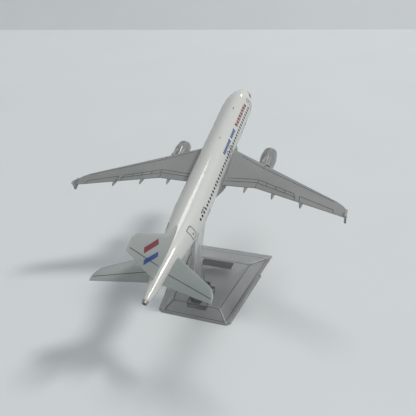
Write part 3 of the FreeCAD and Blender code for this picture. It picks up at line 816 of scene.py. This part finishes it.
    def door_marks(self, side: Side) -> list[Mark]:
        """Return the outlines of one side's doors, exits and hatches, and the doors' handles."""
        marks = [frame_mark(16.6, 2.4, (3.2, 7.4), 0.3), frame_mark(119.2, 3.7, (3.9, 6.6), 0.34)]
        marks += [frame_mark(station, 2.9, (2.2, 3.6), 0.26) for station in (58.4, 62.9)]
        marks += [Mark(16.6, 4.2, (0.75, 0.95)), Mark(119.2, 3.0, (0.75, 0.95))]
        if side is Side.RIGHT:
            marks += [frame_mark(34.0, -3.1, (7.6, 4.8), 0.26), frame_mark(103.0, -2.6, (6.6, 4.4), 0.26)]
        return marks

    @staticmethod
    def red_marks(height: float) -> list[Mark]:
        """Return eight plain groups of strokes, each of two uprights and a bar."""
        marks = []
        for index in range(8):
            middle = 22.7 + 2.62 * index
            marks += [Mark(middle - 0.55, height, (0.85, 2.0), 5.0),
                      Mark(middle + 0.6, height, (0.75, 1.6 + 0.4 * (index % 2)), 5.0),
                      Mark(middle, height + (0.45 if index % 3 else -0.4), (1.5, 0.7), 5.0)]
        return marks

    @staticmethod
    def blue_marks(height: float) -> list[Mark]:
        """Return two plain rows of leaning strokes, each with a taller first one."""
        return [Mark(46.0 + 1.5 * index, height, (1.15, 2.1 if index in (0, 6) else 1.6), 5.0, lean=-0.2)
                for index in range(14) if index != 5]

    def print_side(self, side: Side) -> None:
        """Print the windows, doors and stroke groups of one side."""
        height = 5.6 if side is Side.RIGHT else 4.4
        aft = [Mark(103.8 + 1.5 * index, 4.3, (1.0, 0.8), 5.0) for index in range(3)]
        for name, material, marks in (
                ("cabin_windows", self.finishes.window, self.window_marks()),
                ("door_lines", self.finishes.line, self.door_marks(side)),
                ("red_dashes", self.finishes.red, self.red_marks(height)),
                ("blue_dashes", self.finishes.blue, self.blue_marks(height)),
                ("aft_dashes", self.finishes.window, aft)):
            self.print_layer(f"{name}_{side.word}", material, [side], marks)

    def print_cockpit(self) -> None:
        """Print the cockpit's dark panes round the nose."""
        panes = [Mark(6.35, 2.2, (2.3, 2.4), 4.0, 20, 0.55), Mark(8.9, 2.6, (2.0, 2.0), 4.0, 20, 0.35),
                 Mark(4.6, 2.1, (1.9, 2.6), 4.0, 20, 0.75)]
        self.print_layer("cockpit_panes", self.finishes.window, Side, panes)

    def fit_crown(self) -> None:
        """Add the small blade aerial, the beacon and the aft aerial along the crown."""
        for name, station, size, material in (
                ("crown_aerial", 29.8, (0.9, 0.22, 0.42), self.finishes.window),
                ("crown_beacon", 56.6, (0.5, 0.4, 0.25), self.finishes.core),
                ("aft_aerial", 84.0, (0.8, 0.2, 0.4), self.finishes.white)):
            bm = bmesh.new()
            bmesh.ops.create_uvsphere(bm, u_segments=24, v_segments=12, radius=1.0)
            bmesh.ops.scale(bm, vec=size, verts=bm.verts)
            bmesh.ops.translate(bm, vec=self.skin(station, self.crown_angle), verts=bm.verts)
            bmesh.ops.transform(bm, matrix=self.level.matrix(), verts=bm.verts)
            finish_mesh(bm, name, material, Body.AIRLINER)

    def build(self) -> None:
        """Build the whole body."""
        self.build_upper_shell()
        smooth_copy("fuselage_lower_shell", self.finishes.white, Body.AIRLINER)
        smooth_copy("tail_cone_tip", self.finishes.core, Body.AIRLINER)
        smooth_copy("wing_centre_fairing", self.finishes.wing, Body.AIRLINER)
        smooth_copy("belly_screws", self.finishes.screw, Body.AIRLINER)
        for side in Side:
            self.print_side(side)
        self.print_cockpit()
        self.fit_crown()


# ---------------------------------------------------------------- wings and tail


@dataclass
class Wing:
    """One wing: its skin and the engraved control-surface lines on both faces."""

    level: LevelFrame
    finishes: Finishes
    side: Side
    line_width: float = 0.26
    line_lift: float = 0.015
    line_depth: float = 0.05
    paths: tuple[tuple[Point, ...], ...] = (
        ((76.6, 10.6), (75.9, 26.3)),
        ((78.6, 9.6), (78.0, 26.5)),
        ((76.0, 26.9), (83.6, 46.6)),
        ((78.4, 27.3), (85.6, 47.6)),
        ((83.6, 46.6), (87.9, 47.6)),
        ((85.0, 49.6), (91.4, 66.0)),
        ((91.4, 66.0), (93.3, 66.4)),
        ((85.0, 49.6), (88.3, 49.9)),
        ((59.4, 14.0), (67.6, 27.6)),
        ((67.6, 27.6), (86.6, 66.4)),
        ((67.6, 27.6), (65.6, 28.3)),
        ((78.0, 26.5), (81.5, 26.7)),
    )
    spoiler_ends: tuple[tuple[Point, Point], ...] = (
        ((76.0, 26.9), (78.4, 27.3)), ((77.9, 31.8), (80.1, 32.3)), ((79.8, 36.8), (82.0, 37.3)),
        ((81.7, 41.7), (83.8, 42.3)))

    def draw_lines(self, probe: SurfaceProbe, upper: bool) -> None:
        """Lay the panel lines on one face of the wing.

        Args:
            probe: Finds the wing's skin.
            upper: Whether the lines go on the upper face.
        """
        bm = bmesh.new()
        runs = list(self.paths)
        if upper:
            runs.extend(self.spoiler_ends)
        for path in runs:
            ribbon(bm, [(-s, y * self.side.value) for s, y in path], self.line_width, 24)
        probe.press(bm, bm.verts[:], Vector((0, 0, -1 if upper else 1)), self.line_lift)
        name = f"{self.side.word}_wing_lines_{'upper' if upper else 'lower'}"
        finish_ink(bm, self.line_depth, self.level, name, self.finishes.line)

    def build(self) -> None:
        """Dress the wing."""
        node = f"{self.side.word}_wing"
        smooth_copy(node, self.finishes.wing, Body.AIRLINER, 24)
        probe = SurfaceProbe(node, self.level)
        self.draw_lines(probe, True)
        self.draw_lines(probe, False)


@dataclass
class Tail:
    """The fin and tailplanes, their hinge lines and the fin's plain two-colour bands."""

    level: LevelFrame
    finishes: Finishes
    line_width: float = 0.3
    lift: float = 0.016
    depth: float = 0.05
    row_width: float = 0.25
    rudder: tuple[Point, ...] = ((143.6, 9.2), (154.4, 35.6))
    elevator: tuple[Point, ...] = ((143.9, 4.4), (153.2, 26.9))
    bands: tuple[tuple[Point, Point, float], ...] = (
        ((138.2, 19.2), (147.6, 25.6), 2.5), ((141.6, 15.0), (150.4, 21.2), 2.2))

    def fin_layer(self, name: str, path: Sequence[Point], width: float,
                  material: bpy.types.Material) -> None:
        """Lay a ribbon of ink on both faces of the fin."""
        probe = SurfaceProbe("vertical_fin", self.level)
        bm = bmesh.new()
        for side in Side:
            sheet = ribbon(bm, [(-s, z) for s, z in path], width, 40, max(1, round(width / self.row_width)))
            probe.press(bm, sheet, Vector((0, -side.value, 0)), self.lift, True)
        finish_ink(bm, self.depth, self.level, name, material)

    def elevator_lines(self, side: Side) -> None:
        """Lay the elevator's hinge line on both faces of one tailplane."""
        probe = SurfaceProbe(f"{side.word}_tailplane", self.level)
        bm = bmesh.new()
        for way in (-1, 1):
            sheet = ribbon(bm, [(-s, y * side.value) for s, y in self.elevator], self.line_width, 30)
            probe.press(bm, sheet, Vector((0, 0, way)), self.lift)
        finish_ink(bm, self.depth, self.level, f"{side.word}_elevator_lines", self.finishes.line)

    def build(self) -> None:
        """Dress the tail."""
        smooth_copy("vertical_fin", self.finishes.fin, Body.AIRLINER, 24)
        self.fin_layer("rudder_lines", self.rudder, self.line_width, self.finishes.line)
        inks = (("fin_red_band", self.finishes.red), ("fin_blue_band", self.finishes.blue))
        for (start, end, width), (name, material) in zip(self.bands, inks):
            self.fin_layer(name, (start, end), width, material)
        for side in Side:
            smooth_copy(f"{side.word}_tailplane", self.finishes.tailplane, Body.AIRLINER, 24)
            self.elevator_lines(side)


# ---------------------------------------------------------------- engines


@dataclass
class Engine:
    """One engine: nacelle, bright lip, bladed fan, dark rear annulus, core and strut."""

    level: LevelFrame
    finishes: Finishes
    side: Side
    lip_station: float = 45.0
    spacing: float = 26.0
    drop: float = 9.05
    inlet_radius: float = 2.8
    fan_depth: float = 3.2
    blade_count: int = 22
    blade_chord: float = 0.95
    hub_radius: float = 1.1
    spinner_length: float = 1.7
    nozzle_radius: float = 3.45
    nozzle_station: float = 59.4
    hub_depth: float = 0.9
    disc_depth: float = 0.1
    rim_gap: float = 0.09
    blade_thickness: float = 0.08
    segments: int = 72

    def place(self, bm: bmesh.types.BMesh) -> None:
        """Move a mesh from the engine's axis to its place in the row frame."""
        shift = Matrix.Translation((0, self.spacing * self.side.value, -self.drop))
        bmesh.ops.transform(bm, matrix=self.level.matrix() @ shift, verts=bm.verts)

    def spin_ring(self, name: str, outline: Sequence[Point], material: bpy.types.Material) -> None:
        """Spin and finish one ring of this engine."""
        bm = spun(outline, self.segments, True)
        self.place(bm)
        finish_mesh(bm, f"{self.side.word}_{name}", material, Body.AIRLINER, 30)

    def build_fan(self) -> None:
        """Build the bladed fan with its hub and spinner, in place of the plain CAD disc."""
        face = self.lip_station + self.fan_depth
        front = face - self.hub_depth
        disc, rim = face - self.disc_depth, self.inlet_radius - self.rim_gap
        spinner = [(front - self.spinner_length * share, radius)
                   for share, radius in ((1.0, 0.0), (0.8, 0.42), (0.4, 0.85), (0.0, self.hub_radius))]
        bm = spun(spinner + [(disc, self.hub_radius + 0.1), (disc, rim), (face, rim), (face, 0.0)],
                  self.segments)
        solid_faces = len(bm.faces)
        for index in range(self.blade_count):
            grid = bmesh.ops.create_grid(bm, x_segments=3, y_segments=6, size=0.5)["verts"]
            angle = 2 * math.pi * index / self.blade_count
            for vert in grid:
                share = vert.co.y + 0.5
                radius = self.hub_radius - 0.05 + share * (self.inlet_radius - self.hub_radius - 0.08)
                twist = math.radians(25 + 30 * share)
                across = vert.co.x * self.blade_chord
                camber = 0.1 * (1 - (2 * vert.co.x) ** 2)
                x = -(face - 0.5) + across * math.cos(twist) + camber
                swing = angle + (across * math.sin(twist) * self.side.value) / radius
                vert.co = Vector((x, radius * math.cos(swing), radius * math.sin(swing)))
        bmesh.ops.solidify(bm, geom=bm.faces[:][solid_faces:], thickness=self.blade_thickness)
        bmesh.ops.recalc_face_normals(bm, faces=bm.faces)
        self.place(bm)
        fan = finish_mesh(bm, f"{self.side.word}_engine_fan_blades", self.finishes.fan, Body.AIRLINER, 40)
        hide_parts(f"{self.side.word}_engine_fan")

    def build(self) -> None:
        """Build the whole engine."""
        for piece, material in (("engine_nacelle", self.finishes.nacelle),
                                ("engine_strut", self.finishes.nacelle),
                                ("exhaust_core", self.finishes.core)):
            smooth_copy(f"{self.side.word}_{piece}", material, Body.AIRLINER, 26)
        self.build_fan()
        lip, r = self.lip_station, self.inlet_radius
        self.spin_ring("inlet_lip_ring", [
            (lip + 0.9, r - 0.02), (lip + 0.4, r + 0.14), (lip + 0.02, r + 0.34), (lip - 0.03, r + 0.44),
            (lip + 0.12, r + 0.72), (lip + 0.42, r + 0.94), (lip + 0.44, r + 0.8), (lip + 0.16, r + 0.4)],
            self.finishes.lip)
        n, r = self.nozzle_station, self.nozzle_radius
        # A near-black ring lines the inside of the fan nozzle.
        self.spin_ring("nozzle_dark_liner", [
            (n - 3.3, 1.98), (n - 3.3, r + 0.06), (n - 0.06, r - 0.02), (n - 0.06, r - 0.06), (n - 3.2, r),
            (n - 3.2, 1.98)], self.finishes.nozzle_dark)


# ---------------------------------------------------------------- stand


@dataclass
class Stand:
    """The clear base and pylon, rods of painted glint and painted shade along the base's edges, and the
    label plate coloured as a painted reflection.
    """

    finishes: Finishes
    edge_round: float = 0.35
    length: float = 65.2
    front_width: float = 57.7
    rear_width: float = 38.7
    height: float = 6.7
    front_run: float = 19.5
    rear_run: float = 5.4
    side_run: float = 6.6
    wall: float = 1.6
    painted_glint_radius: float = 0.3
    seam_radius: float = 0.15

    def round_edges(self, piece: bpy.types.Object, width: float) -> None:
        """Give a moulded piece softly rounded edges."""
        bevel = piece.modifiers.new("moulded_edges", "BEVEL")
        bevel.width = width * MM
        bevel.segments = 3
        bevel.limit_method = "ANGLE"
        bevel.angle_limit = math.radians(35)
        bevel.use_clamp_overlap = True
        bevel.harden_normals = False

    def corner(self, level: float, inset: float, front: bool, side: Side) -> Vector:
        """Return one corner of the base's four-sided outline.

        Args:
            level: The height of the outline.
            inset: How far it is drawn in, square to the sloping walls.
            front: Whether the corner is a front one.
            side: The side that it is on.

        Returns:
            The corner in row millimetres.
        """
        share = level / self.height
        rear_x = min(v.co.x for v in frame["nodes"]["stand_base"].data.vertices) / MM
        flare = (self.front_width - self.rear_width) / 2 / self.length
        if front:
            x = rear_x + self.length - self.front_run * share
            x -= inset * math.hypot(1, self.front_run / self.height)
        else:
            x = rear_x + self.rear_run * share + inset * math.hypot(1, self.rear_run / self.height)
        half = self.rear_width / 2 + flare * (x - rear_x) - self.side_run * share
        half -= inset * math.hypot(1, self.side_run / self.height)
        return Vector((x, half * side.value, level))

    def loop(self, level: float, inset: float) -> list[Vector]:
        """Return the four corners of an outline in order round the base."""
        order = ((False, Side.RIGHT), (True, Side.RIGHT), (True, Side.LEFT), (False, Side.LEFT))
        return [self.corner(level, inset, front, side) for front, side in order]

    def lay_rods(self, name: str, runs: Sequence[tuple[Vector, Vector]], radius: float,
                 material: bpy.types.Material) -> None:
        """Lay round-ended rods along straight runs of the base.

        Args:
            name: The piece's name.
            runs: The two ends of every rod in row millimetres.
            radius: The rods' radius.
            material: Their finish.
        """
        bm = bmesh.new()
        for start, end in runs:
            along = end - start
            turn = Vector((0, 0, 1)).rotation_difference(along).to_matrix().to_4x4()
            rod = bmesh.ops.create_uvsphere(bm, u_segments=12, v_segments=8, radius=radius)["verts"]
            for vert in rod:
                if abs(vert.co.z) > 1e-6:
                    vert.co.z += math.copysign(along.length / 2 - radius, vert.co.z)
            bmesh.ops.transform(bm, matrix=Matrix.Translation((start + end) / 2) @ turn, verts=rod)
        bmesh.ops.transform(bm, matrix=Matrix.Scale(MM, 4), verts=bm.verts)
        finish_mesh(bm, name, material, Body.BASE, 60)

    def edge_runs(self, top: float, low: float, inset: float) -> list[tuple[Vector, Vector]]:
        """Return the runs round the roof, round the foot and down the four corners."""
        roof, foot = self.loop(top, inset), self.loop(low, inset)
        rings = [pair for ring in (roof, foot) for pair in zip(ring, ring[1:] + ring[:1])]
        return rings + list(zip(foot, roof))

    def build_edges(self) -> None:
        """Build rods of painted glint along the outer edges and thin rods of painted shade inside the
        corners.
        """
        painted_glint, seam = self.painted_glint_radius, self.seam_radius
        painted_glint_runs = self.edge_runs(self.height - painted_glint, painted_glint, painted_glint)
        painted_shade_line_runs = self.edge_runs(self.height - self.wall - seam, seam, self.wall)
        # Pale rods paint the glints along the outer edges, and dark rods paint the shade lines inside the
        # corners.
        self.lay_rods("base_painted_edge_glints", painted_glint_runs, painted_glint, self.finishes.painted_edge_glint)
        self.lay_rods("base_painted_shade_lines", painted_shade_line_runs, seam, self.finishes.seam)

    def build(self) -> None:
        """Dress the stand."""
        base = smooth_copy("stand_base", self.finishes.clear, Body.BASE, 30, True)
        self.round_edges(base, self.edge_round)
        self.build_edges()
        smooth_copy("stand_pylon", self.finishes.clear_pylon, Body.PYLON, 30)
        # The label plate's maroon is a painted reflection of the red print in the base.
        smooth_copy("label_plate", self.finishes.label, Body.BASE, 30)


# ---------------------------------------------------------------- studio


@dataclass
class Studio:
    """The pale table, the wall behind it, soft lights and the camera."""

    azimuth: float = 21.722
    elevation: float = 31.019
    roll: float = -4.299
    distance: float = 262.0
    lens: float = 40.235
    aim_offset: tuple[float, float, float] = (11.1, 3.3, -2.5)
    floor_colour: Colour = (0.615, 0.645, 0.66)
    slope_x: float = 0.75
    slope: float = math.radians(31)
    sheet_size: float = 6.0
    floor_level: float = -0.15 * MM

    def lay_sheet(self, name: str, place: Matrix, material: bpy.types.Material) -> None:
        """Lay one square of the surroundings."""
        bm = bmesh.new()
        bmesh.ops.create_grid(bm, x_segments=1, y_segments=1, size=1.0)
        bmesh.ops.transform(bm, matrix=place, verts=bm.verts)
        mesh = bpy.data.meshes.new(name)
        bm.to_mesh(mesh)
        bm.free()
        mesh.materials.append(material)
        sheet = bpy.data.objects.new(name, mesh)
        bpy.context.scene.collection.objects.link(sheet)
        sheet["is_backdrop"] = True

    def lay_floor(self) -> None:
        """Lay the pale tabletop and the pale slope that rises behind it."""
        material, bench, shader = start_material("table_paint")
        lighter = tuple(part * 1.06 for part in self.floor_colour)
        mottled = bench.blend(bench.noise(9.0, 4.0), self.floor_colour, lighter)
        bench.feed(mottled, shader.inputs["Base Color"])
        shader.inputs["Roughness"].default_value = 0.6
        size = Matrix.Scale(self.sheet_size, 4)
        flat = Matrix.Translation((self.slope_x - self.sheet_size, 0, self.floor_level))
        self.lay_sheet("table_top", flat @ size, material)
        rise = Matrix.Translation((self.slope_x, 0, self.floor_level)) @ Matrix.Rotation(-self.slope, 4, "Y")
        self.lay_sheet("back_slope", rise @ size @ Matrix.Translation((1.0, 0, 0)), material)

    def hang(self, name: str, kind: str, toward: tuple[float, float, float], power: float, colour: Colour,
             distance: float = 0.0, **shape: object) -> None:
        """Hang one light that faces the model.

        Args:
            name: The light's name.
            kind: SUN, which falls evenly over the table, or AREA.
            toward: The direction towards the light.
            power: Its power.
            colour: Its colour.
            distance: How far away an area light hangs.
            shape: Properties that set how wide the light looks.
        """
        lamp = bpy.data.lights.new(name, kind)
        lamp.energy, lamp.color = power, colour
        for label, value in shape.items():
            setattr(lamp, label, value)
        holder = bpy.data.objects.new(name, lamp)
        direction = Vector(toward).normalized()
        holder.location = Vector((0, 0, 0.05)) + direction * distance
        holder.rotation_euler = direction.to_track_quat("Z", "Y").to_euler()
        bpy.context.scene.collection.objects.link(holder)

    def light(self) -> None:
        """Hang the key light, the overhead light, the front light and the pale surroundings."""
        self.hang("key_light", "SUN", (0.14, -0.6, 0.78), 1.5, (1.0, 0.985, 0.95), angle=math.radians(10))
        self.hang("overhead_light", "SUN", (0.3, 0.07, 0.95), 0.72, (1.0, 0.995, 0.98),
                  angle=math.radians(20))
        self.hang("front_window_light", "AREA", (0.82, -0.05, 0.57), 1.2, (1.0, 0.99, 0.97), 1.6,
                  shape="RECTANGLE", size=0.2, size_y=0.2)
        world = bpy.data.worlds.new("pale_room")
        world.use_nodes = True
        bench = NodeBench(world.node_tree)
        back = world.node_tree.nodes["Background"]
        place = bench.add("ShaderNodeTexCoord")
        split = bench.add("ShaderNodeSeparateXYZ", Vector=place.outputs["Generated"])
        height = bench.ramp(split.outputs["Z"], -0.1, 0.9)
        leftward = bench.ramp(split.outputs["Y"], 1.2, -0.4)
        mask = bench.maths("MULTIPLY", bench.maths("ADD", height, 0.25), leftward)
        bench.feed(bench.blend(mask, (0.3, 0.32, 0.33), (0.92, 0.96, 1.0)), back.inputs["Color"])
        back.inputs["Strength"].default_value = 0.42
        bpy.context.scene.world = world
        bpy.context.scene.view_settings.view_transform = "Standard"

    def set_camera(self) -> None:
        """Place the camera behind, above and to the right of the model."""
        low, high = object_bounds()
        aim = (low + high) / 2 + Vector(self.aim_offset) * MM
        a, e = math.radians(self.azimuth), math.radians(self.elevation)
        back = Vector((-math.cos(a) * math.cos(e), -math.sin(a) * math.cos(e), math.sin(e)))
        right = (-back).cross(Vector((0, 0, 1))).normalized()
        top = right.cross(-back)
        c, s = math.cos(math.radians(self.roll)), math.sin(math.radians(self.roll))
        across, upward = right * c + top * s, top * c - right * s
        camera = bpy.data.cameras.new("viewer")
        camera.lens = self.lens
        camera.sensor_width = 36.0
        camera.clip_start, camera.clip_end = 0.01, 20
        holder = bpy.data.objects.new("viewer", camera)
        turn = Matrix((across, upward, back)).transposed().to_4x4()
        holder.matrix_world = Matrix.Translation(aim + back * self.distance * MM) @ turn
        bpy.context.scene.collection.objects.link(holder)
        bpy.context.scene.camera = holder

    def build(self) -> None:
        """Set up the studio."""
        self.lay_floor()
        self.light()
        self.set_camera()


def main() -> None:
    """Build every sub-assembly in order."""
    logging.basicConfig(level=logging.INFO, format="%(name)s: %(message)s")
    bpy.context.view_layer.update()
    level = LevelFrame.from_cad()
    log.info("nose-up pitch %.2f degrees", math.degrees(level.pitch()))
    finishes = Finishes()
    Fuselage(level, finishes).build()
    for side in Side:
        Wing(level, finishes, side).build()
        Engine(level, finishes, side).build()
    Tail(level, finishes).build()
    Stand(finishes).build()
    Studio().build()


if __name__ == "__main__":
    main()
